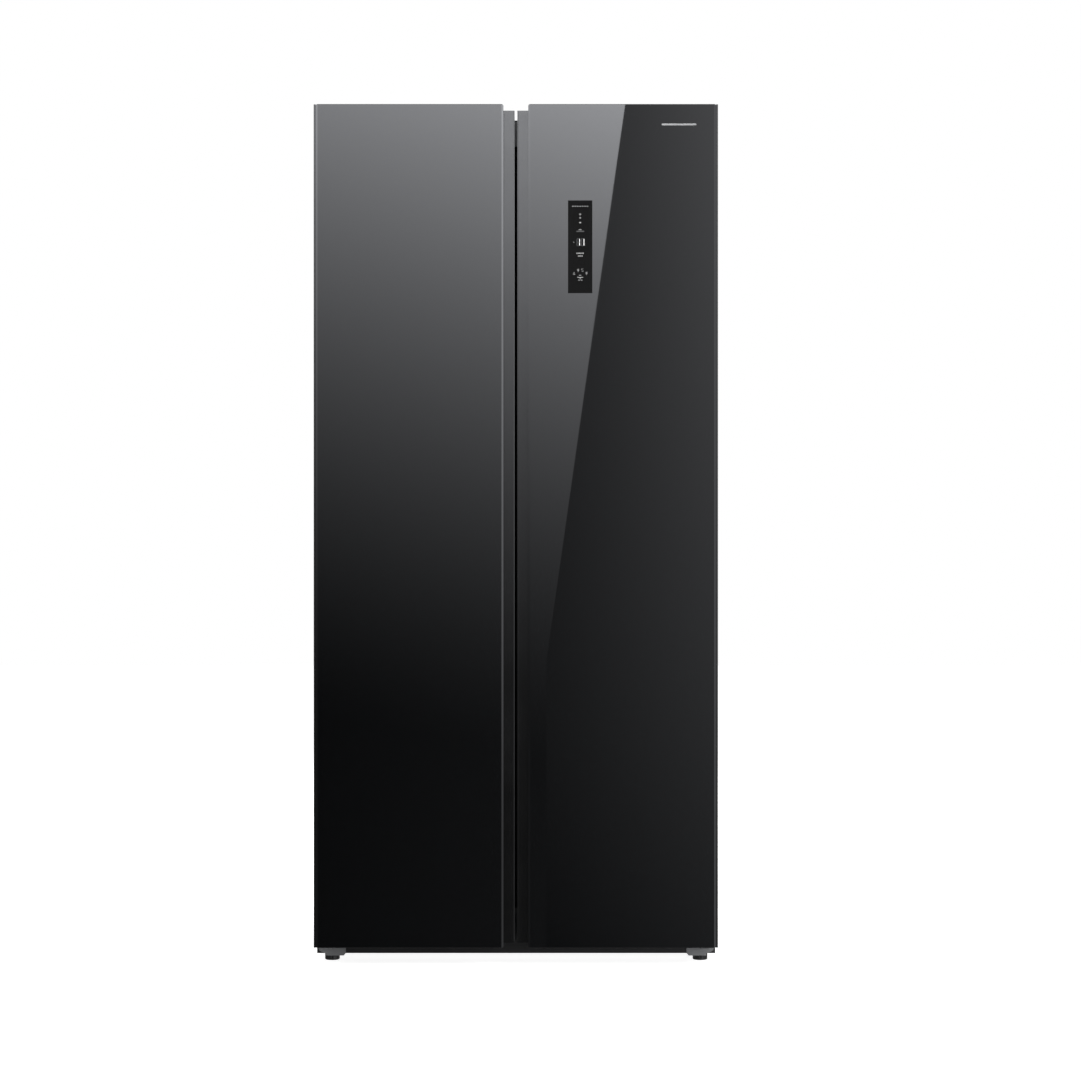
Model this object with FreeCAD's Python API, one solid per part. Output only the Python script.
"""Side by side refrigerator: a freezer on the left, a larder on the right, one black glass door each.

Row frame, millimetres: +X to the right seen from the front, +Y to the back, +Z up.
The origin is on the floor, under the middle of the overall box.
"""
import FreeCAD
import Part
import math
import os
from FreeCAD import Vector

# ---------------------------------------------------------------- driving dimensions
WIDTH, DEPTH, HEIGHT = 833.0, 655.0, 1775.0
DOOR_GAP = 6.0                 # between the two doors
DOOR_BOTTOM = 37.0             # lower edge of the glass above the floor
DOOR_THICKNESS = 68.0          # glass face to door liner
SEAL_GAP = 12.0                # door liner to cabinet front
CABINET_DROP = 22.0            # cabinet top below the top of the doors
REAR_STANDOFF = 5.0            # machine room cover behind the cabinet
SHEET = 1.0                    # steel sheet
PLASTIC = 2.0                  # vacuum formed and moulded walls
WALL = 50.0                    # insulated side wall with its skins
MULLION = 60.0                 # insulated wall between the compartments
CEILING = 55.0
FLOOR_INSIDE = 110.0           # liner floor above the floor of the room
SKIRT_TOP = 100.0              # top of the front base beam
BEAM_BOTTOM = 15.0
BASE_SHEET = 1.2               # sheet under the foam
BEND = 3.0                     # outside radius of the folds in the outer skin
SIDE_BOTTOM = 30.0
INSET_LOW, INSET_HIGH = 8.0, 10.0   # door body ends this far inside the glass
EDGE_TRIM = 4.0                # width of the hinge side edge profile, seen from the front
BEVEL, BEVEL_DEPTH = 4.0, 1.4  # ground long edges of the glass
GROOVE = 22.5                  # visible width of the handle groove
HINGE_U, HINGE_V = 18.0, 36.0  # hinge axis from the door's outer edge and from its glass face
PIN_R = 5.0
PIN_CLEARANCE = 0.06
SHELF_HEIGHTS = (492.0, 760.0, 1030.0, 1300.0)
GLASS_SHELF = 4.0
UPPER_DRAWER_Z, UPPER_DRAWER_H = 285.0, 188.0
LOWER_DRAWER_Z, LOWER_DRAWER_H = 112.0, 158.0
DRAWER_SIDE = 14.0             # drawer to the outer room wall, so that it clears the open door's seal
BIN_HEIGHTS = (330.0, 790.0, 1240.0)
BIN_H = 105.0
DYKE_U, DYKE_WIDTH, DYKE_REACH = 53.0, 8.0, 57.0   # raised walls on the door liner
DYKE_U2 = 352.0
BIN_U, BIN_V = (68.5, 344.5), (70.0, 180.0)
DISPLAY_X, DISPLAY_W = 132.5, 50.0
DISPLAY_Z, DISPLAY_H = 1481.0, 191.0
MACHINE_DEPTH, MACHINE_TOP = 190.0, 240.0

# ---------------------------------------------------------------- derived places
HALF = WIDTH / 2
FRONT = -DEPTH / 2
DOOR_BACK = FRONT + DOOR_THICKNESS
CAB_FRONT = DOOR_BACK + SEAL_GAP
CAB_REAR = DEPTH / 2 - REAR_STANDOFF
CAB_TOP = HEIGHT - CABINET_DROP
DOOR_WIDTH = HALF - DOOR_GAP / 2
ROOM_OUT, ROOM_IN = HALF - WALL, MULLION / 2      # compartment walls, from the middle
ROOM_TOP = CAB_TOP - CEILING
ROOM_BACK = CAB_REAR - SHEET - WALL
STEP_Y = CAB_REAR - MACHINE_DEPTH - 35.0          # front of the raised liner floor
STEP_Z = MACHINE_TOP + 35.0
MACHINE_Y = CAB_REAR - MACHINE_DEPTH
BODY_LOW, BODY_HIGH = DOOR_BOTTOM + INSET_LOW, HEIGHT - INSET_HIGH
CAP = 16.0                                        # height of a door end cap
HINGE_X, HINGE_Y = HALF - HINGE_U, FRONT + HINGE_V
SHELF_FRONT = CAB_FRONT + 115.0
DRAWER_FRONT = CAB_FRONT + 130.0
FREEZER_BACK = ROOM_BACK - 75.0                   # face of the evaporator cover
DUCT_DEPTH = 30.0
LARDER_BACK = ROOM_BACK - DUCT_DEPTH
FAN_Y, FAN_Z = MACHINE_Y + 94.0, 134.0            # condenser fan shaft
EVAP_FAN_X, EVAP_FAN_Z = -(ROOM_OUT + ROOM_IN) / 2, 760.0 + 130.0
ROLLER_R, ROLLER_X, ROLLER_Y = 16.0, 352.0, 275.0
FOOT_X, FOOT_Y, FOOT_R = HALF - 32.0, CAB_FRONT + 17.0, 15.5
CLEAR = 0.6                                       # general gap between fitted pieces

PARTS = {}


# ---------------------------------------------------------------- shape helpers
def block(x0, x1, y0, y1, z0, z1):
    return Part.makeBox(x1 - x0, y1 - y0, z1 - z0, Vector(x0, y0, z0))


def rod(radius, start, end):
    axis = Vector(*end) - Vector(*start)
    return Part.makeCylinder(radius, axis.Length, Vector(*start), axis)


def prism(points, direction):
    """A flat outline of 3-D points, pushed along a vector."""
    corners = [Vector(*p) for p in points]
    return Part.Face(Part.makePolygon(corners + corners[:1])).extrude(Vector(*direction))


def prism_x(points, x0, x1):
    return prism([(x0, y, z) for y, z in points], (x1 - x0, 0, 0))


def prism_y(points, y0, y1):
    return prism([(x, y0, z) for x, z in points], (0, y1 - y0, 0))


def prism_z(points, z0, z1):
    return prism([(x, y, z0) for x, y in points], (0, 0, z1 - z0))


def near(value, target):
    return abs(value - target) < 0.01


def rounded(shape, radius, wanted):
    """Rounds the edges whose bounding box passes the test."""
    edges = [e for e in shape.Edges if wanted(e.BoundBox)]
    return shape.makeFillet(radius, edges) if edges else shape


def upright(box):
    return box.ZLength > 1 and box.XLength < 0.01 and box.YLength < 0.01


def soft_box(x0, x1, y0, y1, z0, z1, radius):
    """A block with rounded upright edges."""
    return rounded(block(x0, x1, y0, y1, z0, z1), radius, upright)


def slot(x0, x1, y0, y1, z0, z1, radius):
    """A cutting block with its edges along Y rounded."""
    return rounded(block(x0, x1, y0, y1, z0, z1), radius,
                   lambda b: b.YLength > 1 and b.XLength < 0.01 and b.ZLength < 0.01)


def fused(shapes):
    return shapes[0].multiFuse(shapes[1:]).removeSplitter()


def mirrored(shape):
    return shape.mirror(Vector(0, 0, 0), Vector(1, 0, 0))


def both_sides(shape):
    return [shape, mirrored(shape)]


def keep(name, *shapes):
    """Files one node: each shape is one solid or several."""
    solids = [s for shape in shapes for s in shape.Solids]
    PARTS[name] = solids[0] if len(solids) == 1 else Part.makeCompound(solids)


def winding(start, runs, length):
    """A pipe's centre line: straight runs along X joined by half circles.

    runs lists the (y, z) of every run; the path turns round to the next one at each end.
    """
    x_from, x_to = start, start + length
    edges = []
    for i, (y, z) in enumerate(runs):
        a, b = (x_from, x_to) if i % 2 == 0 else (x_to, x_from)
        edges.append(Part.LineSegment(Vector(a, y, z), Vector(b, y, z)).toShape())
        if i + 1 < len(runs):
            y2, z2 = runs[i + 1]
            reach = math.hypot(y2 - y, z2 - z) / 2 * (1 if b > a else -1)
            middle = Vector(b + reach, (y + y2) / 2, (z + z2) / 2)
            edges.append(Part.Arc(Vector(b, y, z), middle, Vector(b, y2, z2)).toShape())
    return Part.Wire(edges)


def tube(path, radius):
    first = path.OrderedEdges[0]
    at = first.valueAt(first.FirstParameter)
    ring = Part.Wire(Part.makeCircle(radius, at, first.tangentAt(first.FirstParameter)))
    return path.makePipeShell([ring], True, True)


def pipe_through(points, radius, bend):
    """A round pipe along straight runs, with its corners bent to one radius."""
    p = [Vector(*q) for q in points]
    edges, at = [], p[0]
    for before, corner, after in zip(p, p[1:], p[2:]):
        into = (before - corner).normalize()
        out = (after - corner).normalize()
        half = into.getAngle(out) / 2
        run = bend / math.tan(half)
        start, end = corner + into * run, corner + out * run
        centre = corner + (into + out).normalize() * (bend / math.sin(half))
        middle = centre + (corner - centre).normalize() * bend
        edges += [Part.LineSegment(at, start).toShape(), Part.Arc(start, middle, end).toShape()]
        at = end
    edges.append(Part.LineSegment(at, p[-1]).toShape())
    return tube(Part.Wire(edges), radius)


def blade_wheel(centre, axis, hub_r, tip_r, thick, blades, pitch_deg=28.0):
    """A fan wheel: a hub with flat pitched blades, turning about axis (X or Y)."""
    hub = Part.makeCylinder(hub_r, thick, Vector(0, 0, -thick / 2))
    hub = rounded(hub, 2.0, lambda b: near(b.ZMax, thick / 2) and near(b.ZLength, 0))
    wheel = [hub]
    chord = 2 * math.pi * (hub_r + tip_r) / 2 / blades * 0.62
    for i in range(blades):
        blade = block(hub_r - 3, tip_r - 2, -chord / 2, chord / 2, -0.9, 0.9)
        blade = rounded(blade, chord * 0.28, lambda b: near(b.ZLength, 1.8) and b.XMin > hub_r)
        blade.rotate(Vector(0, 0, 0), Vector(1, 0, 0), pitch_deg)
        blade.rotate(Vector(0, 0, 0), Vector(0, 0, 1), 360.0 * i / blades)
        wheel.append(blade)
    wheel = fused(wheel)
    turn = Vector(0, 1, 0) if axis == "x" else Vector(1, 0, 0)
    wheel.rotate(Vector(0, 0, 0), turn, 90)
    wheel.translate(Vector(*centre))
    return wheel


# ---------------------------------------------------------------- cabinet shell
def outer_wrap():
    """Steel sheet bent over both sides and the top, with a flange round the front."""
    def skin(inset, radius, below):
        body = block(-HALF + inset, HALF - inset, CAB_FRONT + inset, CAB_REAR + below,
                     SIDE_BOTTOM - below, CAB_TOP - inset)

        def bent(b):
            along_y = b.YLength > 100 and near(b.ZMin, CAB_TOP - inset)
            front = near(b.YMax, CAB_FRONT + inset) and (
                upright(b) or (b.XLength > 100 and near(b.ZMin, CAB_TOP - inset)))
            return along_y or front
        return rounded(body, radius, bent)

    sheet = skin(0, BEND, 0).cut(skin(SHEET, BEND - SHEET, 20))
    window = block(-ROOM_OUT, ROOM_OUT, CAB_FRONT - 5, CAB_FRONT + 5, FLOOR_INSIDE, ROOM_TOP)
    skirt = block(-HALF + SHEET, HALF - SHEET, CAB_FRONT - 5, CAB_FRONT + 5, 0, SKIRT_TOP)
    keep("outer_wrap", sheet.cut(window).cut(skirt))


def back_panel():
    z0, z1 = MACHINE_TOP + 2, CAB_TOP - SHEET - 0.2
    x1 = HALF - SHEET - 0.2
    panel = block(-x1, x1, CAB_REAR - 1.5, CAB_REAR - 0.5, z0, z1)
    panel = rounded(panel, 5.0, lambda b: near(b.YLength, 1) and near(b.ZMin, z1))
    beads = []
    for i in range(7):
        x = (i - 3) * 110.0
        bead = block(x - 12, x + 12, CAB_REAR - 0.6, CAB_REAR + 2.0, z0 + 60, z1 - 60)
        bead = rounded(bead, 9.0, lambda b: b.YLength > 1 and b.ZLength < 0.01)
        beads.append(bead)
    keep("back_panel", fused([panel] + beads))


def base_plate():
    """The stepped floor sheet: flat at the front, raised over the machine room."""
    t = BASE_SHEET
    y0, y1, y2 = CAB_FRONT + 26, MACHINE_Y, CAB_REAR - 2
    z0, z1 = DOOR_BOTTOM, MACHINE_TOP
    outline = [(y0, z0), (y1, z0), (y1, z1), (y2, z1), (y2, z1 + t), (y1 - t, z1 + t), (y1 - t, z0 + t),
               (y0, z0 + t)]
    x1 = HALF - SHEET - 0.2
    keep("base_plate", prism_x(outline, -x1, x1))


def front_base_beam():
    """The dark channel across the bottom of the cabinet; the feet screw up through its lower web."""
    x1 = HALF - SHEET - 0.2
    y0, y1, t = CAB_FRONT, CAB_FRONT + 25, 2.0
    outline = [(y0, BEAM_BOTTOM), (y1, BEAM_BOTTOM), (y1, BEAM_BOTTOM + t), (y0 + t, BEAM_BOTTOM + t),
               (y0 + t, SKIRT_TOP - t), (y1, SKIRT_TOP - t), (y1, SKIRT_TOP), (y0, SKIRT_TOP)]
    beam = prism_x(outline, -x1, x1)
    beam = rounded(beam, 1.5, lambda b: b.XLength > 100 and near(b.YMax, y0))
    for side in (-1, 1):
        beam = beam.cut(rod(5.4, (side * FOOT_X, FOOT_Y, 10), (side * FOOT_X, FOOT_Y, 30)))
    keep("front_base_beam", beam)


def insulation_foam():
    """Foam between the skins, as blocks that meet face to face."""
    out = HALF - BEND
    front, rear = CAB_FRONT + SHEET, CAB_REAR - 1.5
    skin_out, skin_in = ROOM_OUT + PLASTIC, ROOM_IN - PLASTIC
    skin_back, skin_top = ROOM_BACK + PLASTIC, ROOM_TOP + PLASTIC
    skin_floor, step_y, step_z = FLOOR_INSIDE - PLASTIC, STEP_Y + PLASTIC, STEP_Z - PLASTIC
    over = MACHINE_TOP + BASE_SHEET
    riser = MACHINE_Y - BASE_SHEET
    roof = CAB_TOP - BEND
    blocks = []
    for side in (-1, 1):
        x0, x1 = sorted((side * skin_out, side * out))
        blocks.append(block(x0, x1, front, riser, SKIRT_TOP, roof))
        blocks.append(block(x0, x1, riser, rear, over, roof))
    blocks += [
        block(-out, out, CAB_FRONT + 26, riser, DOOR_BOTTOM + BASE_SHEET, SKIRT_TOP),
        block(-skin_out, skin_out, front, riser, SKIRT_TOP, skin_floor),
        block(-skin_out, skin_out, front, rear, skin_top, roof),
        block(-skin_out, skin_out, skin_back, rear, over, skin_top),
        block(-skin_out, skin_out, step_y, riser, skin_floor, step_z),
        block(-skin_out, skin_out, riser, skin_back, over, step_z),
        block(-skin_in, skin_in, front, step_y, skin_floor, skin_top),
        block(-skin_in, skin_in, step_y, skin_back, step_z, skin_top),
    ]
    keep("insulation_foam", *blocks)


def tub(grow, radius):
    """Inside space of the left compartment, grown outwards, with rounded corners behind the mouth."""
    mouth = CAB_FRONT + SHEET
    outline = [(mouth, FLOOR_INSIDE - grow), (STEP_Y + grow, FLOOR_INSIDE - grow),
               (STEP_Y + grow, STEP_Z - grow), (ROOM_BACK + grow, STEP_Z - grow),
               (ROOM_BACK + grow, ROOM_TOP + grow), (mouth, ROOM_TOP + grow)]
    body = prism_x(outline, -ROOM_OUT - grow, -ROOM_IN + grow)
    ends = (-ROOM_OUT - grow, -ROOM_IN + grow)

    def corner(b):
        at_mouth = near(b.YMin, mouth) and b.YLength < 1
        ridge = near(b.ZMin, STEP_Z - grow) and near(b.YMin, STEP_Y + grow) and b.XLength > 100
        side = b.XLength < 0.01 and (near(b.XMin, ends[0]) or near(b.XMin, ends[1]))
        shelf = side and near(b.ZMin, STEP_Z - grow) and b.ZLength < 0.01
        step = side and near(b.YMin, STEP_Y + grow) and b.YLength < 0.01
        return not (at_mouth or ridge or shelf or step)
    return rounded(body, radius, corner)


def liner(shelf_end):
    """Left compartment liner with its raised rear floor, shelf ribs and drawer runners."""
    shell = tub(PLASTIC, 18.0).cut(tub(0, 16.0))
    added = []
    for top in SHELF_HEIGHTS + (UPPER_DRAWER_Z,):
        carries_shelf = top in SHELF_HEIGHTS
        first = SHELF_FRONT + 12 if carries_shelf else CAB_FRONT + 52
        reach = 9 if carries_shelf else DRAWER_SIDE + 5
        for x0, x1 in ((-ROOM_OUT - 1, -ROOM_OUT + reach), (-ROOM_IN - 9, -ROOM_IN + 1)):
            rib = block(x0, x1, first, shelf_end - 10, top - 6, top)
            added.append(rounded(rib, 3.0, lambda b: near(b.ZLength, 6) and near(b.YMin, first)
                                 and b.YLength < 1))
    for x in (-ROOM_OUT + 40, -ROOM_IN - 52):
        added.append(block(x, x + 12, CAB_FRONT + 40, STEP_Y - 20, FLOOR_INSIDE - 1, LOWER_DRAWER_Z))
    return fused([shell] + added)


def mullion_strip():
    keep("mullion_strip", block(-ROOM_IN, ROOM_IN, CAB_FRONT, CAB_FRONT + SHEET, FLOOR_INSIDE, ROOM_TOP))


# ---------------------------------------------------------------- hinges and top fittings
def hinges():
    reach = 10.0               # half width of the arm over the pin
    z0, z1 = CAB_TOP, CAB_TOP + 4
    x = -HINGE_X
    arm = [(x - reach, HINGE_Y), (x + reach, HINGE_Y), (x + reach, CAB_FRONT - 2), (x + 58, CAB_FRONT + 22),
           (x + 58, CAB_FRONT + 70), (x - reach, CAB_FRONT + 70)]
    plate = fused([prism_z(arm, z0, z1), rod(reach, (x, HINGE_Y, z0), (x, HINGE_Y, z1))])
    plate = plate.cut(rod(PIN_R, (x, HINGE_Y, z0 - 1), (x, HINGE_Y, z1 + 1)))
    for dx, dy in ((6, 34), (6, 58), (44, 46)):
        screw = rod(5.0, (x + dx, CAB_FRONT + dy, z1), (x + dx, CAB_FRONT + dy, z1 + 3))
        slot = block(x + dx - 4, x + dx + 4, CAB_FRONT + dy - 0.6, CAB_FRONT + dy + 0.6, z1 + 1.8, z1 + 4)
        plate = fused([plate, screw.cut(slot)])
    keep("top_hinge_plates", *both_sides(plate))

    tab_low, tab_high = 32.0, 36.0
    tab = fused([block(x - 12, x + 14, HINGE_Y, CAB_FRONT, tab_low, tab_high),
                 rod(12.0, (x, HINGE_Y, tab_low), (x, HINGE_Y, tab_high))])
    near_x, far_x, low = x - 13, x + 43, 10.5
    outline = [(near_x, 66), (near_x, 22), (near_x + 5, 18.5), (x + 2, 15), (x + 2, low), (far_x - 4, low),
               (far_x, low + 5), (far_x, 66)]
    flange = prism_y(outline, CAB_FRONT - 3, CAB_FRONT)
    fold = CAB_FRONT - 3
    gusset = prism_x([(fold, 24), (fold, tab_low), (fold - 27, tab_low)], x + 8, x + 14)
    bracket = fused([tab, flange, gusset]).cut(
        rod(PIN_R, (x, HINGE_Y, tab_low - 1), (x, HINGE_Y, tab_high + 1)))
    for dx in (34.0, 50.0):
        head = rod(4.0, (-HALF + dx, CAB_FRONT - 5.5, 52), (-HALF + dx, CAB_FRONT - 3, 52))
        bracket = fused([bracket, head])
    keep("bottom_hinge_brackets", *both_sides(bracket))

    upper = rod(PIN_R, (x, HINGE_Y, CAB_TOP - 24), (x, HINGE_Y, z1 + 1.5))
    lower = fused([rod(PIN_R, (x, HINGE_Y, tab_low - 1), (x, HINGE_Y, BODY_LOW + 20)),
                   rod(9.0, (x, HINGE_Y, tab_high), (x, HINGE_Y, BODY_LOW - 0.5))])
    keep("hinge_pins", *both_sides(upper), *both_sides(lower))


def hinge_covers():
    x0, x1 = -HALF + 5, -HALF + 88
    y0, y1 = CAB_FRONT + 1, CAB_FRONT + 92
    z0, z1 = CAB_TOP, CAB_TOP + 19

    def hood(inset):
        body = block(x0 + inset, x1 - inset, y0 + inset, y1 - inset, z0 - 2 * inset, z1 - inset)
        body = rounded(body, 10.0 - inset, upright)
        return rounded(body, 5.0 - inset, lambda b: near(b.ZMin, z1 - inset) and b.ZLength < 0.01)

    mouth = block(-HINGE_X - 12, -HINGE_X + 62, y0 - 1, y0 + 22, z0 - 1, z0 + 8)
    keep("hinge_covers", *both_sides(hood(0).cut(hood(2.0)).cut(mouth)))


def control_board_box():
    """Flat housing of the main board, screwed to the top at the back."""
    y0, y1, z0 = CAB_REAR - 150, CAB_REAR - 20, CAB_TOP
    body = soft_box(-110, 110, y0, y1, z0, z0 + 16, 8)
    body = rounded(body, 2.5, lambda b: near(b.ZMin, z0 + 16) and b.ZLength < 0.01)
    ribs = [block(-90 + 24 * i, -84 + 24 * i, y0 + 20, y1 - 20, z0 + 15, z0 + 17.2) for i in range(8)]
    feet = []
    for sx in (-1, 1):
        for y in (y0 + 25, y1 - 25):
            feet.append(soft_box(sx * 118 - 10, sx * 118 + 10, y - 8, y + 8, z0, z0 + 3, 4))
            feet.append(rod(4, (sx * 120, y, z0 + 3), (sx * 120, y, z0 + 5.5)))
    keep("control_board_box", fused([body] + ribs + feet))


# ---------------------------------------------------------------- doors (built as the left one)
def du(u):
    return -HALF + u


def dv(v):
    return FRONT + v


def door_block(u0, u1, v0, v1, z0, z1):
    return block(du(u0), du(u1), dv(v0), dv(v1), z0, z1)


GLASS_T = 4.0
GLASS_U1 = DOOR_WIDTH - GROOVE
LEDGE = 2.5                    # ledge that carries the free edge of the glass
GROOVE_U, GROOVE_V = GLASS_U1 - 16.0, 24.0
GROOVE_R = 3.0                 # radius in the two inner corners of the groove
SHELL_BACK = DOOR_THICKNESS - PLASTIC


def groove(grow):
    """The finger groove with its undercut behind the glass, as a cutting body over the full height."""
    u0, v1 = GROOVE_U - grow, GROOVE_V + grow
    ledge_v = GLASS_T + LEDGE
    far = DOOR_WIDTH + 30
    outline = [(u0, v1), (far, v1), (far, -5)]
    if grow:
        outline.append((u0, -5))
    else:
        outline += [(GLASS_U1, -5), (GLASS_U1, ledge_v), (u0, ledge_v)]
    body = prism_z([(du(u), dv(v)) for u, v in outline], 0, HEIGHT + 50)
    radius = GROOVE_R + grow
    body = rounded(body, radius, lambda b: upright(b) and near(b.XMin, du(u0)) and near(b.YMin, dv(v1)))
    if not grow:
        y = dv(ledge_v)
        body = rounded(body, radius, lambda b: upright(b) and near(b.XMin, du(u0)) and near(b.YMin, y))
    return body


def hinge_pocket():
    return door_block(-1, 30, 10, DOOR_THICKNESS + 1, CAB_TOP - 3, HEIGHT + 1)


def door_glass(window):
    """Toughened pane: long edges ground to a bevel, small radii at the corners."""
    u0, u1, z0, z1, nick = EDGE_TRIM, GLASS_U1, DOOR_BOTTOM, HEIGHT, 0.8
    plan = [(u0, BEVEL_DEPTH), (u0 + BEVEL, 0), (u1 - BEVEL, 0), (u1, BEVEL_DEPTH), (u1, GLASS_T),
            (u0, GLASS_T)]
    side = [(dv(nick), z0), (dv(0), z0 + nick), (dv(0), z1 - nick), (dv(nick), z1), (dv(GLASS_T), z1),
            (dv(GLASS_T), z0)]
    face = door_block(u0, u1, 0, GLASS_T, z0, z1)
    face = rounded(face, 4.0, lambda b: near(b.YLength, GLASS_T) and b.ZLength < 0.01)
    pane = prism_z([(du(u), dv(v)) for u, v in plan], z0, z1).common(face)
    pane = pane.common(prism_x(side, du(u0), du(u1)))
    if window:
        pane = pane.cut(mirrored(window))
    return pane


def door_side_trim():
    """Dark edge profile on the hinge side of the door."""
    outline = [(0, 0.8), (EDGE_TRIM, 0.8), (EDGE_TRIM, GLASS_T), (14, GLASS_T), (14, 6), (2, 6),
               (2, DOOR_THICKNESS), (0, DOOR_THICKNESS)]
    bar = prism_z([(du(u), dv(v)) for u, v in outline], DOOR_BOTTOM + 0.5, HEIGHT - 0.5)
    bar = rounded(bar, 2.4, lambda b: upright(b) and near(b.XMin, du(0)) and near(b.YMin, dv(0.8)))
    for z0, z1 in ((DOOR_BOTTOM, BODY_LOW), (BODY_HIGH, HEIGHT)):
        bar = bar.cut(door_block(-1, 16, 9, DOOR_THICKNESS, z0, z1))
    return bar.cut(hinge_pocket())


def door_handle_strip():
    """Moulded strip round the finger groove: ledge behind the glass, wall, flat floor and side wall.

    It is filed as these four runs, which meet face to face.
    """
    outside = door_block(GROOVE_U - PLASTIC, DOOR_WIDTH, GLASS_T, DOOR_THICKNESS, BODY_LOW, BODY_HIGH)
    core = door_block(GROOVE_U - 40, DOOR_WIDTH - PLASTIC, GLASS_T - 1, DOOR_THICKNESS + 1, 0, HEIGHT)
    strip = outside.cut(groove(0)).cut(core.cut(groove(PLASTIC)))
    strip = rounded(strip, 1.2, lambda b: upright(b) and near(b.XMin, du(DOOR_WIDTH)) and b.YMax < dv(30))
    wall_u, middle_v, floor_v = GROOVE_U + GROOVE_R + 0.2, GROOVE_V / 2, GROOVE_V + PLASTIC
    runs = ((0, wall_u, 0, floor_v), (wall_u, 499, 0, middle_v), (wall_u, 499, middle_v, floor_v),
            (0, 499, floor_v, 99))
    boxes = [door_block(u0, u1, v0, v1, 0, HEIGHT) for u0, u1, v0, v1 in runs]
    return Part.makeCompound([strip.common(box) for box in boxes])


def door_end_caps():
    """Moulded caps that close the door at the top and bottom and carry the hinge pins."""
    def slab(z0, z1, lip0, lip1, rim):
        body = door_block(2, DOOR_WIDTH - PLASTIC, 6.5, SHELL_BACK, z0, z1)
        edge = door_block(14, GROOVE_U - PLASTIC - 1, GLASS_T, 9, lip0, lip1)
        end = door_block(2, DOOR_WIDTH - PLASTIC, SHELL_BACK - 1, DOOR_THICKNESS, rim, rim + PLASTIC)
        return fused([body, edge, end]).cut(groove(PLASTIC))

    bush = PIN_R + PIN_CLEARANCE
    top = slab(BODY_HIGH - CAP, BODY_HIGH, BODY_HIGH - CAP, HEIGHT, BODY_HIGH - PLASTIC)
    seat = door_block(2, 36, 10, SHELL_BACK, CAB_TOP - 27, BODY_HIGH)
    top = fused([top, seat]).cut(hinge_pocket())
    top = top.cut(rod(bush, (-HINGE_X, HINGE_Y, CAB_TOP - 24.5), (-HINGE_X, HINGE_Y, CAB_TOP)))
    bottom = slab(BODY_LOW, BODY_LOW + CAP, DOOR_BOTTOM, BODY_LOW + CAP, BODY_LOW)
    seat = door_block(2, 36, 10, SHELL_BACK, BODY_LOW, BODY_LOW + 24)
    bottom = fused([bottom, seat]).cut(
        rod(bush, (-HINGE_X, HINGE_Y, BODY_LOW - 1), (-HINGE_X, HINGE_Y, BODY_LOW + 20.5)))
    return [top, bottom]


def door_foam(caps, window):
    z0, z1 = BODY_LOW + CAP, BODY_HIGH - CAP
    filling = fused([door_block(14, GROOVE_U - PLASTIC, GLASS_T, SHELL_BACK, z0, z1),
                     door_block(2, DOOR_WIDTH - PLASTIC, 6.5, SHELL_BACK, z0, z1)])
    filling = filling.cut(groove(PLASTIC)).cut(hinge_pocket())
    for cap in caps:
        filling = filling.cut(cap)
    filling = filling.cut(rod(PIN_R + 1, (-HINGE_X, HINGE_Y, CAB_TOP - 27), (-HINGE_X, HINGE_Y, CAB_TOP)))
    filling = filling.cut(rod(PIN_R + 1, (-HINGE_X, HINGE_Y, BODY_LOW), (-HINGE_X, HINGE_Y, BODY_LOW + 24)))
    if window:
        filling = filling.cut(mirrored(window))
    return filling


def door_liner():
    """Inner door skin set inside the trims and caps, two raised walls on it, and the lugs for the bins."""
    skin = door_block(PLASTIC, DOOR_WIDTH - PLASTIC, SHELL_BACK, DOOR_THICKNESS, BODY_LOW + PLASTIC,
                      BODY_HIGH - PLASTIC)
    pieces = [skin.cut(hinge_pocket())]
    z0, z1 = FLOOR_INSIDE + 16, ROOM_TOP - 16
    v1 = DOOR_THICKNESS + DYKE_REACH
    for u in (DYKE_U, DYKE_U2):
        wall = door_block(u, u + DYKE_WIDTH, DOOR_THICKNESS, v1, z0, z1)
        wall = rounded(wall, 14.0, lambda b: near(b.XLength, DYKE_WIDTH) and near(b.YMin, dv(v1)))
        pieces.append(rounded(wall, 2.5, lambda b: near(b.YMin, dv(v1)) and b.ZLength > 100))
    for z in BIN_HEIGHTS:
        for u0, u1 in ((DYKE_U + DYKE_WIDTH, BIN_U[0] - CLEAR), (BIN_U[1] + CLEAR, DYKE_U2)):
            lug = door_block(u0, u1, 78, 118, z + 36, z + 62)
            pieces.append(rounded(lug, 3.0, lambda b: b.XLength > 2 and near(b.ZMin, z + 36)
                                  and b.ZLength < 0.01 and b.YLength < 0.01))
    return Part.makeCompound(pieces)


def door_gasket():
    """Magnetic seal just off the cabinet when shut: four lengths that meet at mitred corners."""
    u0, u1, z0, z1, w = 24.0, 408.0, 86.0, 1724.0, 18.0
    v0, v1 = DOOR_THICKNESS, DOOR_THICKNESS + SEAL_GAP - 0.7
    lengths = []
    for corners in (((u0, z0), (u0 + w, z0 + w), (u0 + w, z1 - w), (u0, z1)),
                    ((u1, z0), (u1 - w, z0 + w), (u1 - w, z1 - w), (u1, z1)),
                    ((u0, z0), (u0 + w, z0 + w), (u1 - w, z0 + w), (u1, z0)),
                    ((u0, z1), (u0 + w, z1 - w), (u1 - w, z1 - w), (u1, z1))):
        lengths.append(prism([(du(u), dv(v0), z) for u, z in corners], (0, v1 - v0, 0)))
    return Part.makeCompound(lengths)


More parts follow.
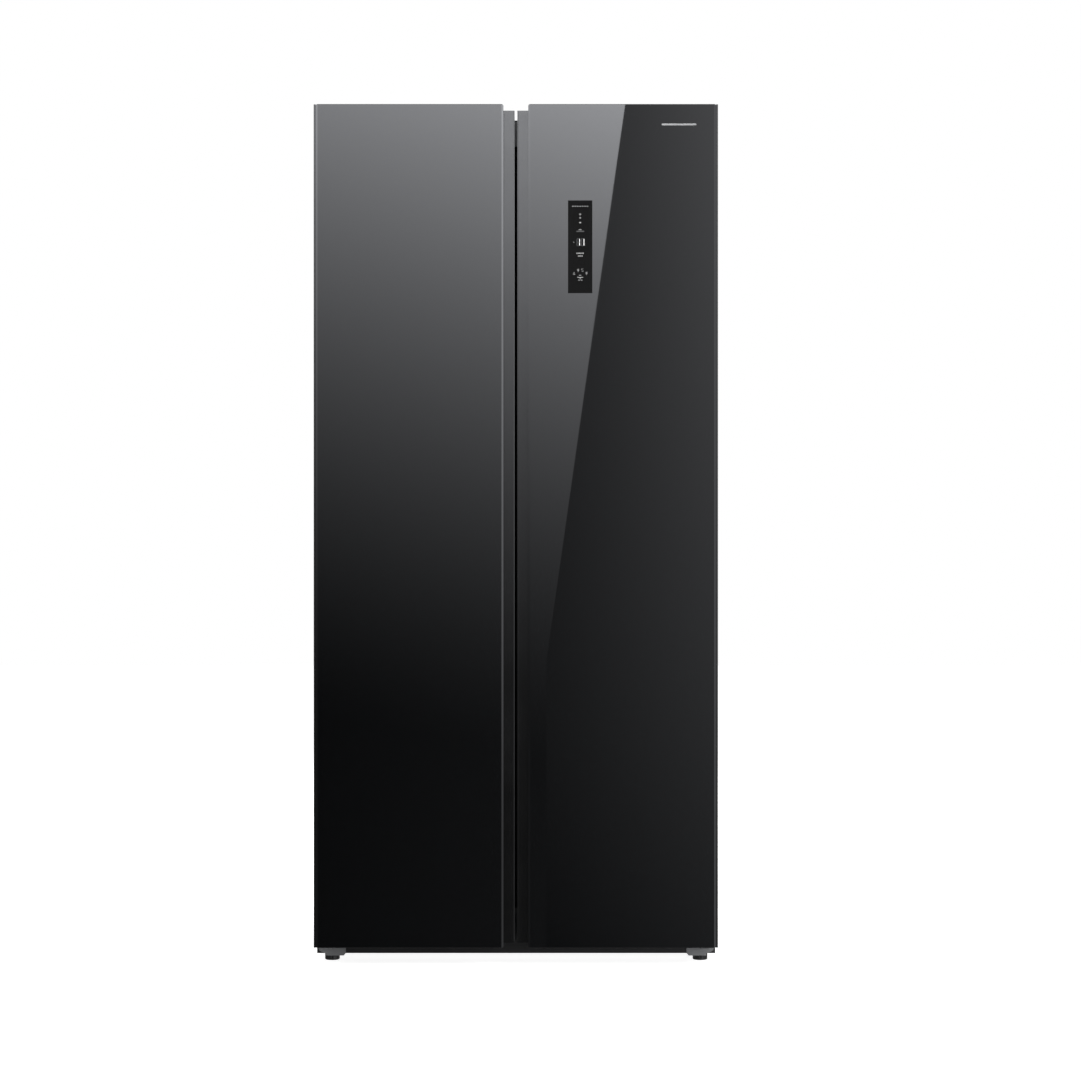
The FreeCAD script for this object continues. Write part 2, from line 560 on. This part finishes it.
def doors():
    x0, x1 = DISPLAY_X - DISPLAY_W / 2, DISPLAY_X + DISPLAY_W / 2
    z0, z1 = DISPLAY_Z - DISPLAY_H / 2, DISPLAY_Z + DISPLAY_H / 2
    lens = block(x0 + 0.2, x1 - 0.2, FRONT, FRONT + GLASS_T, z0 + 0.2, z1 - 0.2)
    housing = soft_box(x0 - 8, x1 + 8, FRONT + GLASS_T, FRONT + 18, z0 - 8, z1 + 8, 3)
    socket = block(x1 + 8, x1 + 20, FRONT + 8, FRONT + 16, DISPLAY_Z - 15, DISPLAY_Z + 15)
    display = fused([lens, housing, socket])
    keep("display_module", display)
    window = block(x0, x1, FRONT - 1, FRONT + GLASS_T + 1, z0, z1)
    for name, turn, hole, recess in (("freezer", both_left, None, None),
                                     ("fridge", mirrored, window, display)):
        caps = door_end_caps()
        keep(name + "_door_glass", turn(door_glass(hole)))
        keep(name + "_door_side_trim", turn(door_side_trim()))
        keep(name + "_door_handle_strip", turn(door_handle_strip()))
        keep(name + "_door_end_caps", *[turn(s) for s in caps])
        keep(name + "_door_foam", turn(door_foam(caps, recess)))
        keep(name + "_door_liner", turn(door_liner()))
        keep(name + "_door_gasket", turn(door_gasket()))
        for place, z in zip(("bottom", "middle", "top"), BIN_HEIGHTS):
            keep(name + "_bin_" + place, turn(door_bin(z)))


def both_left(shape):
    return shape


def door_bin(z):
    """Open bin that hangs on the lugs of the door liner by a ledge at each end."""
    (u0, u1), (v0, v1) = BIN_U, BIN_V

    def vessel(inset, top):
        body = door_block(u0 + inset, u1 - inset, v0 + inset, v1 - inset, z + inset, z + top)
        body = rounded(body, 14.0 - inset, upright)
        return rounded(body, 6.0 - inset, lambda b: near(b.ZMin, z + inset) and b.ZLength < 0.01)

    shell = vessel(0, BIN_H).cut(vessel(PLASTIC, BIN_H + 20))
    low_back = door_block(u0 + 20, u1 - 20, v0 - 1, v0 + 10, z + BIN_H - 30, z + BIN_H + 1)
    shell = shell.cut(low_back)
    extras = []
    for a, b in ((DYKE_U + DYKE_WIDTH + CLEAR, u0 + 1), (u1 - 1, DYKE_U2 - CLEAR)):
        extras.append(door_block(a, b, 84, 121, z + 62, z + 66))
        extras.append(door_block(a, b, 119.2, 121.2, z + 34, z + 66))
    rail = door_block(u0 + 14, u1 - 14, v1 - 0.5, v1 + 2.5, z + BIN_H - 16, z + BIN_H - 6)
    extras.append(rounded(rail, 1.4, lambda b: b.XLength > 100 and near(b.YMin, dv(v1 + 2.5))))
    return fused([shell] + extras)



# ---------------------------------------------------------------- inside the compartments
def drawer(x0, x1, y1, z0, height):
    """Open drawer with a thicker front and a lip to pull on."""
    y0, wall = DRAWER_FRONT, 2.5
    z1 = z0 + height

    def vessel(inset, top):
        body = block(x0 + inset, x1 - inset, y0 + inset, y1 - inset, z0 + inset, top)
        body = rounded(body, 10.0 - inset, upright)
        return rounded(body, 5.0 - inset, lambda b: near(b.ZMin, z0 + inset) and b.ZLength < 0.01)

    shell = vessel(0, z1).cut(vessel(wall, z1 + 20))
    shell = shell.cut(block(x0 + 30, x1 - 30, y1 - 8, y1 + 1, z1 - 40, z1 + 1))
    front = block(x0 + 4, x1 - 4, y0 - 4, y0 + 1, z0 + 4, z1 - 1)
    front = rounded(front, 8.0, lambda b: near(b.YLength, 5))
    lip = prism_x([(y0 - 4, z1 - 1), (y0 - 14, z1 - 5), (y0 - 14, z1 - 16), (y0 - 11.5, z1 - 16),
                   (y0 - 11.5, z1 - 6.5), (y0 - 3, z1 - 3.5)], x0 + 60, x1 - 60)
    rail = block(x0 + 20, x1 - 20, y0 - 4.8, y0 - 3.5, z0 + 22, z0 + 26)
    return fused([shell, front, lip, rail])


def drawers():
    x0, x1 = -ROOM_OUT + DRAWER_SIDE, -ROOM_IN - 5
    low_back = STEP_Y - 7
    up_z, up_h = UPPER_DRAWER_Z, UPPER_DRAWER_H
    keep("freezer_drawer_lower", drawer(x0, x1, low_back, LOWER_DRAWER_Z, LOWER_DRAWER_H))
    keep("freezer_drawer_upper", drawer(x0, x1, FREEZER_BACK - 12, up_z, up_h))
    keep("crisper_drawer_lower", mirrored(drawer(x0, x1, low_back, LOWER_DRAWER_Z, LOWER_DRAWER_H)))
    keep("crisper_drawer_upper", mirrored(drawer(x0, x1, LARDER_BACK - 12, up_z, up_h)))


def shelves():
    x0, x1 = -ROOM_OUT + 2.0, -ROOM_IN - 2.0
    plates, trims = [], []
    for z in SHELF_HEIGHTS:
        for back, turn in ((FREEZER_BACK - 8, both_left), (LARDER_BACK - 6, mirrored)):
            pane = soft_box(x0, x1, SHELF_FRONT + 4, back, z, z + GLASS_SHELF, 3)
            plates.append(turn(pane))
            nose = prism_x([(SHELF_FRONT, z - 6), (SHELF_FRONT + 11, z - 6), (SHELF_FRONT + 11, z),
                            (SHELF_FRONT + 4, z), (SHELF_FRONT + 4, z + GLASS_SHELF),
                            (SHELF_FRONT + 13, z + GLASS_SHELF), (SHELF_FRONT + 13, z + GLASS_SHELF + 2.5),
                            (SHELF_FRONT, z + GLASS_SHELF + 2.5)], x0 - 0.6, x1 + 0.6)
            nose = rounded(nose, 1.5, lambda b: b.XLength > 100 and near(b.YMin, SHELF_FRONT))
            tail = prism_x([(back - 8, z + GLASS_SHELF), (back + 2, z + GLASS_SHELF), (back + 2, z + 12),
                            (back, z + 12), (back - 1, z + GLASS_SHELF + 2),
                            (back - 8, z + GLASS_SHELF + 2)],
                           x0 - 0.6, x1 + 0.6)
            trims += [turn(nose), turn(tail)]
    keep("shelf_glass_plates", *plates)
    keep("shelf_front_trims", *trims)


def lamps():
    """Light strip under the ceiling and a lens near the front of each compartment."""
    bars = []
    for side in (-1, 1):
        middle = side * (ROOM_OUT + ROOM_IN) / 2
        bar = soft_box(middle - 110, middle + 110, -60, 0, ROOM_TOP - 7, ROOM_TOP, 12)
        bar = rounded(bar, 2.5, lambda b: near(b.ZMin, ROOM_TOP - 7) and b.ZLength < 0.01)
        bars.append(bar)
    keep("interior_lamps", *bars)


def evaporator():
    """Cover, finned coil, fan and defrost heater at the back of the freezer."""
    x0, x1 = -ROOM_OUT + 2.5, -ROOM_IN - 2.5
    y0, y1 = FREEZER_BACK - 2.5, FREEZER_BACK
    z0, z1 = STEP_Z + 2, 1400.0
    sheet = block(x0, x1, y0, y1, z0, z1)
    roof = block(x0 + 16, x1 - 16, y1 - 1, ROOM_BACK, z1 - 2.5, z1)
    ribs = [block(x0 + 60, x1 - 60, y0 - 1.5, y0 + 0.5, z, z + 3) for z in (1120.0, 1350.0)]
    cover = fused([sheet, roof] + ribs)
    slots = []
    for i in range(9):
        x = EVAP_FAN_X + (i - 4) * 26.0
        slots.append(slot(x - 9, x + 9, y0 - 3, y1 + 3, 1365, 1372, 3))
        slots.append(slot(x - 9, x + 9, y0 - 3, y1 + 3, 1192, 1199, 3))
        slots.append(block(x - 9, x + 9, y0 - 3, y1 + 3, 300, 306))
    grille = []
    for i in range(1, 5):
        ring = rod(14.0 * i + 2, (EVAP_FAN_X, y0 - 3, EVAP_FAN_Z), (EVAP_FAN_X, y1 + 3, EVAP_FAN_Z))
        ring = ring.cut(rod(14.0 * i - 7, (EVAP_FAN_X, y0 - 4, EVAP_FAN_Z), (EVAP_FAN_X, y1 + 4, EVAP_FAN_Z)))
        grille.append(ring)
    spokes = []
    for i in range(6):
        spoke = block(EVAP_FAN_X - 3, EVAP_FAN_X + 3, y0 - 4, y1 + 4, EVAP_FAN_Z, EVAP_FAN_Z + 70)
        spoke.rotate(Vector(EVAP_FAN_X, 0, EVAP_FAN_Z), Vector(0, 1, 0), 60.0 * i + 30)
        spokes.append(spoke)
    openings = Part.makeCompound(grille).cut(Part.makeCompound(spokes))
    keep("evaporator_cover", cover.cut(Part.makeCompound(slots)).cut(openings))

    pipe_r, rows = 4.0, 7
    runs = []
    for i in range(rows):
        z = 345.0 + i * 34.0
        pair = [(FREEZER_BACK + 18, z), (FREEZER_BACK + 50, z)]
        runs += pair if i % 2 == 0 else pair[::-1]
    length = 230.0
    start = EVAP_FAN_X - length / 2
    coil = tube(winding(start, runs, length), pipe_r)
    holes = Part.makeCompound([rod(pipe_r, (start - 5, y, z), (start + length + 5, y, z)) for y, z in runs])
    fins = []
    for i in range(24):
        x = start + 6 + i * (length - 12) / 23.0
        fin = block(x - 0.4, x + 0.4, FREEZER_BACK + 6, FREEZER_BACK + 62, 330, 564)
        fins.append(fin.cut(holes))
    keep("evaporator_coil", coil, *fins)

    heater_z = 308.0
    path = [(start + 8, FREEZER_BACK + 20, heater_z), (start + length + 14, FREEZER_BACK + 20, heater_z),
            (start + length + 14, FREEZER_BACK + 48, heater_z), (start + 8, FREEZER_BACK + 48, heater_z)]
    heater = pipe_through(path, 3.2, 12)
    feet = []
    for x in (start + 30, start + length - 30):
        for y in (FREEZER_BACK + 20, FREEZER_BACK + 48):
            foot = block(x - 4, x + 4, y - 5, y + 5, STEP_Z, heater_z + 5)
            feet.append(foot.cut(rod(3.2, (x - 6, y, heater_z), (x + 6, y, heater_z))))
    keep("defrost_heater", heater, *feet)

    centre_y = FREEZER_BACK + 22.0
    motor_y = centre_y + 9.0
    motor = rod(20, (EVAP_FAN_X, motor_y, EVAP_FAN_Z), (EVAP_FAN_X, motor_y + 30, EVAP_FAN_Z))
    motor = rounded(motor, 3.0, lambda b: near(b.YMin, motor_y) and b.YLength < 0.01)
    shaft = rod(3.0, (EVAP_FAN_X, centre_y - 4, EVAP_FAN_Z), (EVAP_FAN_X, motor_y + 2, EVAP_FAN_Z))
    arms = []
    for sx in (-1, 1):
        for sz in (-1, 1):
            hip = (EVAP_FAN_X + sx * 12, motor_y + 22, EVAP_FAN_Z + sz * 12)
            knee = (EVAP_FAN_X + sx * 58, ROOM_BACK - 4, EVAP_FAN_Z + sz * 58)
            arms.append(rod(3.5, hip, knee))
            arms.append(rod(9, (knee[0], ROOM_BACK - 6, knee[2]), (knee[0], ROOM_BACK, knee[2])))
    keep("evaporator_fan_motor", fused([motor, shaft] + arms))
    wheel = blade_wheel((EVAP_FAN_X, centre_y, EVAP_FAN_Z), "y", 20.0, 55.0, 14.0, 5)
    bore = rod(3.0 + PIN_CLEARANCE, (EVAP_FAN_X, centre_y - 4.5, EVAP_FAN_Z),
               (EVAP_FAN_X, centre_y + 8, EVAP_FAN_Z))
    keep("evaporator_fan_blade", wheel.cut(bore))


def air_duct():
    """Larder air duct down the rear wall, with the damper flap near its top."""
    middle, half = (ROOM_OUT + ROOM_IN) / 2, 105.0
    y0, z0, z1, t = LARDER_BACK, STEP_Z + 30, ROOM_TOP - 24, PLASTIC
    outside = block(middle - half, middle + half, y0, ROOM_BACK, z0, z1)
    outside = rounded(outside, 10.0, lambda b: upright(b) and near(b.YMin, y0))
    inside = block(middle - half + t, middle + half - t, y0 + t, ROOM_BACK + 1, z0 + t, z1 - t)
    inside = rounded(inside, 8.0, lambda b: upright(b) and near(b.YMin, y0 + t))
    duct = outside.cut(inside)
    flap_half, flap_z = 60.0, 1560.0
    cheeks = [block(middle + s * (flap_half + 2) - 2, middle + s * (flap_half + 2) + 2, y0 + t - 1,
                    ROOM_BACK, flap_z - 40, flap_z + 40) for s in (-1, 1)]
    duct = fused([duct] + cheeks)
    pin_y = ROOM_BACK - 5.0
    for s in (-1, 1):
        at = middle + s * flap_half
        duct = duct.cut(rod(1.5 + 0.05, (at - 5, pin_y, flap_z), (at + 5, pin_y, flap_z)))
    slots = []
    for z in [h + 40 for h in SHELF_HEIGHTS] + [h + 180 for h in SHELF_HEIGHTS]:
        for s in (-1, 1):
            x = middle + s * 62
            slots.append(slot(x - 26, x + 26, y0 - 1, y0 + t + 2, z, z + 9, 4))
    keep("air_duct_panel", duct.cut(Part.makeCompound(slots)))
    flap = block(middle - flap_half + 1.5, middle + flap_half - 1.5, pin_y - 20, pin_y + 1.5, flap_z - 1.2,
                 flap_z + 1.2)
    pins = rod(1.5, (middle - flap_half - 3, pin_y, flap_z), (middle + flap_half + 3, pin_y, flap_z))
    barrel = rod(2.4, (middle - flap_half + 1.5, pin_y, flap_z), (middle + flap_half - 1.5, pin_y, flap_z))
    keep("damper_flap", fused([flap, pins, barrel]))


# ---------------------------------------------------------------- machine room
PLATE_Z, PLATE_T = 44.0, 2.0
COMP_X, COMP_Y = -190.0, MACHINE_Y + 95.0
FAN_X = 20.0


def compressor_plate():
    """Folded carrier plate with the roller forks; the axles are riveted in."""
    x1 = HALF - SHEET - 0.4
    y0, y1 = MACHINE_Y + 2, CAB_REAR - 3
    plate = block(-x1, x1, y0, y1, PLATE_Z, PLATE_Z + PLATE_T)
    lips = [block(-x1, x1, y, y + PLATE_T, PLATE_Z - 12, PLATE_Z + 0.5) for y in (y0, y1 - PLATE_T)]
    forks, axles = [], []
    for side in (-1, 1):
        for gap in (-13.0, 11.0):
            x = side * ROLLER_X + gap
            fork = prism_x([(ROLLER_Y - 13, PLATE_Z + 0.5), (ROLLER_Y + 13, PLATE_Z + 0.5),
                            (ROLLER_Y + 8, ROLLER_R - 6), (ROLLER_Y - 8, ROLLER_R - 6)], x, x + PLATE_T)
            forks.append(fork)
        axles.append(rod(4.0, (side * ROLLER_X - 15, ROLLER_Y, ROLLER_R), (side * ROLLER_X + 15, ROLLER_Y,
                                                                         ROLLER_R)))
    cheeks = []
    for side in (-1, 1):
        middle = side * (x1 - 0.6)
        cheeks.append(block(middle - 0.6, middle + 0.6, y0, y1, PLATE_Z + PLATE_T, MACHINE_TOP - 1))
    keep("compressor_plate", fused([plate] + lips + forks + axles), *cheeks)


def rollers():
    for side, name in ((-1, "roller_left"), (1, "roller_right")):
        x = side * ROLLER_X
        wheel = rod(ROLLER_R, (x - 9, ROLLER_Y, ROLLER_R), (x + 9, ROLLER_Y, ROLLER_R))
        wheel = rounded(wheel, 1.5, lambda b: b.XLength < 0.01)
        hubs = rod(7.0, (x - 10.4, ROLLER_Y, ROLLER_R), (x + 10.4, ROLLER_Y, ROLLER_R))
        bore = rod(4.0 + PIN_CLEARANCE, (x - 12, ROLLER_Y, ROLLER_R), (x + 12, ROLLER_Y, ROLLER_R))
        keep(name, fused([wheel, hubs]).cut(bore))


def levelling_feet():
    for side, name in ((-1, "levelling_foot_left"), (1, "levelling_foot_right")):
        x = side * FOOT_X
        base = rod(FOOT_R, (x, FOOT_Y, 0), (x, FOOT_Y, 15))
        base = rounded(base, 3.0, lambda b: near(b.ZMin, 0) and b.ZLength < 0.01)
        base = rounded(base, 1.5, lambda b: near(b.ZMin, 15) and b.ZLength < 0.01)
        for i in range(8):
            dent = rod(3.0, (x + FOOT_R + 1.2, FOOT_Y, 4), (x + FOOT_R + 1.2, FOOT_Y, 16))
            dent.rotate(Vector(x, FOOT_Y, 0), Vector(0, 0, 1), 45.0 * i)
            base = base.cut(dent)
        keep(name, fused([base, rod(5.0, (x, FOOT_Y, 14), (x, FOOT_Y, 36))]))


def machine_room():
    top = PLATE_Z + PLATE_T
    pads = []
    for sx in (-1, 1):
        for sy in (-1, 1):
            x, y = COMP_X + sx * 82, COMP_Y + sy * 52
            pad = rod(11, (x, y, top), (x, y, top + 16))
            waist = rod(20, (x, y, top + 6), (x, y, top + 10)).cut(rod(8.5, (x, y, top), (x, y, top + 16)))
            pads.append(pad.cut(waist))
    keep("compressor_grommets", *pads)

    foot_z = top + 16
    pot = Part.makeSphere(70, Vector(0, 0, 0))
    stretch = FreeCAD.Matrix()
    stretch.scale(1.12, 0.98, 0.98)
    pot = pot.transformGeometry(stretch)
    pot = pot.fuse(rod(71.0, (0, 0, -12), (0, 0, 12)))
    pot.translate(Vector(COMP_X, COMP_Y, foot_z + 74))
    feet = [block(COMP_X - 96, COMP_X + 96, COMP_Y + s * 52 - 13, COMP_Y + s * 52 + 13, foot_z, foot_z + 2.5)
            for s in (-1, 1)]
    web = rod(46, (COMP_X, COMP_Y, foot_z), (COMP_X, COMP_Y, foot_z + 14))
    ties = block(COMP_X - 40, COMP_X + 40, COMP_Y - 60, COMP_Y + 60, foot_z, foot_z + 2.5)
    terminal = soft_box(COMP_X + 62, COMP_X + 96, COMP_Y - 24, COMP_Y + 24, foot_z + 50, foot_z + 100, 5)
    stubs = [rod(4, (COMP_X - 60, COMP_Y + dy, foot_z + 70), (COMP_X - 92, COMP_Y + dy, foot_z + 70))
             for dy in (-14, 14)]
    keep("compressor", fused([pot, web, ties, terminal] + feet + stubs))

    runs = []
    heights = [FAN_Z - 62 + i * 30.0 for i in range(5)]
    runs = [(FAN_Y - 52, z) for z in heights] + [(FAN_Y + 52, z) for z in reversed(heights)]
    x0, length = FAN_X + 64.0, 190.0
    pipe = tube(winding(x0, runs, length), 3.0)
    wires = []
    for i in range(12):
        x = x0 + 8 + i * (length - 16) / 11.0
        for y in (FAN_Y - 56.2, FAN_Y + 56.2):
            wires.append(rod(1.0, (x, y, FAN_Z - 70), (x, y, FAN_Z + 66)))
    frame = []
    for x in (x0 + 20, x0 + 170):
        stand = block(x - 6, x + 6, FAN_Y - 48.8, FAN_Y + 48.8, top, top + 3)
        post = block(x - 6, x + 6, FAN_Y - 1, FAN_Y + 1, top, FAN_Z + 60)
        frame.append(fused([stand, post]))
    keep("condenser_coil", pipe, *wires, *frame)

    shroud_x = FAN_X
    board = block(shroud_x - 1.5, shroud_x + 1.5, FAN_Y - 88, FAN_Y + 88, top, MACHINE_TOP - 6)
    board = board.cut(rod(78, (shroud_x - 5, FAN_Y, FAN_Z), (shroud_x + 5, FAN_Y, FAN_Z)))
    collar = rod(80, (shroud_x - 10, FAN_Y, FAN_Z), (shroud_x + 14, FAN_Y, FAN_Z)).cut(
        rod(78, (shroud_x - 11, FAN_Y, FAN_Z), (shroud_x + 15, FAN_Y, FAN_Z)))
    motor = rod(22, (shroud_x - 52, FAN_Y, FAN_Z), (shroud_x - 14, FAN_Y, FAN_Z))
    motor = rounded(motor, 4.0, lambda b: b.XLength < 0.01)
    shaft = rod(3.0, (shroud_x - 15, FAN_Y, FAN_Z), (shroud_x + 5, FAN_Y, FAN_Z))
    arms = []
    for i in range(4):
        arm = block(shroud_x - 24, shroud_x - 18, FAN_Y - 4, FAN_Y + 4, FAN_Z + 15, FAN_Z + 84)
        arm = arm.fuse(block(shroud_x - 24, shroud_x, FAN_Y - 4, FAN_Y + 4, FAN_Z + 80.5, FAN_Z + 84))
        arm.rotate(Vector(0, FAN_Y, FAN_Z), Vector(1, 0, 0), 45.0 + 90.0 * i)
        arms.append(arm)
    foot = block(shroud_x - 20, shroud_x + 20, FAN_Y - 88, FAN_Y + 88, top, top + 2.5)
    keep("condenser_fan_shroud", fused([board, collar, motor, shaft, foot] + arms))
    wheel = blade_wheel((shroud_x, FAN_Y, FAN_Z), "x", 24.0, 72.0, 18.0, 5)
    bore = rod(3.0 + PIN_CLEARANCE, (shroud_x - 10, FAN_Y, FAN_Z), (shroud_x + 5.5, FAN_Y, FAN_Z))
    keep("condenser_fan_blade", wheel.cut(bore))

    tray_z = foot_z + 152.0
    tray = block(COMP_X - 90, COMP_X + 90, COMP_Y - 70, COMP_Y + 70, tray_z, tray_z + 24)
    tray = rounded(tray, 12.0, upright)
    hollow = block(COMP_X - 88, COMP_X + 88, COMP_Y - 68, COMP_Y + 68, tray_z + 2, tray_z + 30)
    tray = tray.cut(rounded(hollow, 10.0, upright))
    y0, y1 = COMP_Y - 36, COMP_Y + 36
    carriers = []
    for s in (-1, 1):
        reach = COMP_X + s * 103
        carriers.append(block(reach - 2, reach + 2, y0, y0 + 12, top, tray_z + 12))
        carriers.append(block(reach - 2, reach + 2, y1 - 12, y1, top, tray_z + 12))
        carriers.append(block(COMP_X + s * 97 - 8, COMP_X + s * 97 + 8, y0, y1, tray_z + 8, tray_z + 12))
    keep("drip_tray", fused([tray] + carriers))

    y0, y1 = CAB_REAR, DEPTH / 2
    cover = block(-HALF + 6, HALF - 6, y0, y1, SIDE_BOTTOM + 4, MACHINE_TOP + 14)
    cover = rounded(cover, 8.0, lambda b: b.YLength > 1 and b.XLength < 0.01 and b.ZLength < 0.01)
    cover = cover.cut(block(-HALF + 9, HALF - 9, y0 - 1, y1 - 1.6, SIDE_BOTTOM + 7, MACHINE_TOP + 11))
    louvres = []
    for column in range(-6, 7):
        for row in range(9):
            x, z = column * 58.0, SIDE_BOTTOM + 26 + row * 20.0
            louvres.append(block(x - 22, x + 22, y0 - 2, y1 + 1, z, z + 6))
    cover = cover.cut(Part.makeCompound(louvres))
    heads = [rod(5, (s * (HALF - 16), y1 - 1.8, z), (s * (HALF - 16), y1 - 0.2, z)) for s in (-1, 1)
             for z in (60.0, 140.0, 225.0)]
    keep("machine_room_cover", fused([cover] + heads))


# ---------------------------------------------------------------- build and export
outer_wrap()
back_panel()
base_plate()
front_base_beam()
insulation_foam()
keep("freezer_liner", liner(FREEZER_BACK))
keep("fridge_liner", mirrored(liner(LARDER_BACK)))
mullion_strip()
hinges()
hinge_covers()
control_board_box()
doors()
drawers()
shelves()
lamps()
evaporator()
air_duct()
compressor_plate()
rollers()
levelling_feet()
machine_room()

os.makedirs("parts", exist_ok=True)
for node, shape in PARTS.items():
    shape.exportStep("parts/" + node + ".step")
print(len(PARTS), "nodes")
